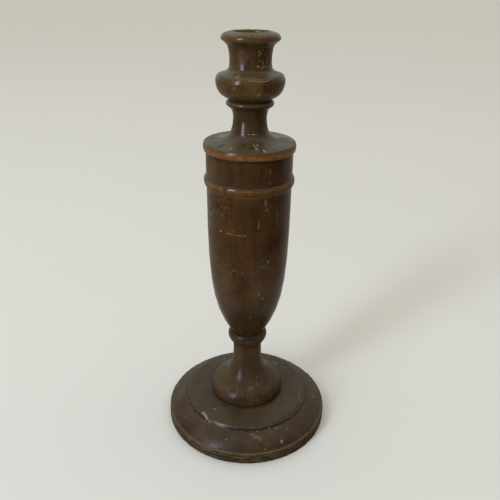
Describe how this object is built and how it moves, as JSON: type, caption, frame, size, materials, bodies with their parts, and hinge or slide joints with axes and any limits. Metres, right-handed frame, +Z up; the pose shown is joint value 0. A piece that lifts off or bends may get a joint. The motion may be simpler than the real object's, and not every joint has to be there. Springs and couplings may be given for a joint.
{
  "type": "candlestick",
  "caption": "Turned wooden candlestick: round stepped base, bell foot, urn-shaped column with beads, slim neck and a bulbous candle socket.",
  "frame": {"origin": "centre of the underside, on the surface that the candlestick stands on", "axes": "+Z up along the turning axis, from the base to the candle socket; +X and +Y level"},
  "size_m": [0.1182, 0.1182, 0.275],
  "materials": {
    "dark_wood": "dark stained and varnished, satin gloss, worn along the beads",
    "socket_wood": "dark stained and varnished, dulled by wax and soot",
    "beech": "bare turned peg",
    "baize": "short-napped wool baize, glued down",
    "steel": "dull wood screw"
  },
  "bodies": {
    "root": {"base_pad": "baize", "base_disc": "dark_wood", "base_screw": "steel", "pedestal": "dark_wood", "stem_dowel": "beech", "urn": "dark_wood", "shoulder_dowel": "beech", "shoulder_cap": "dark_wood", "socket_dowel": "beech", "candle_socket": "socket_wood"}
  },
  "joints": []
}
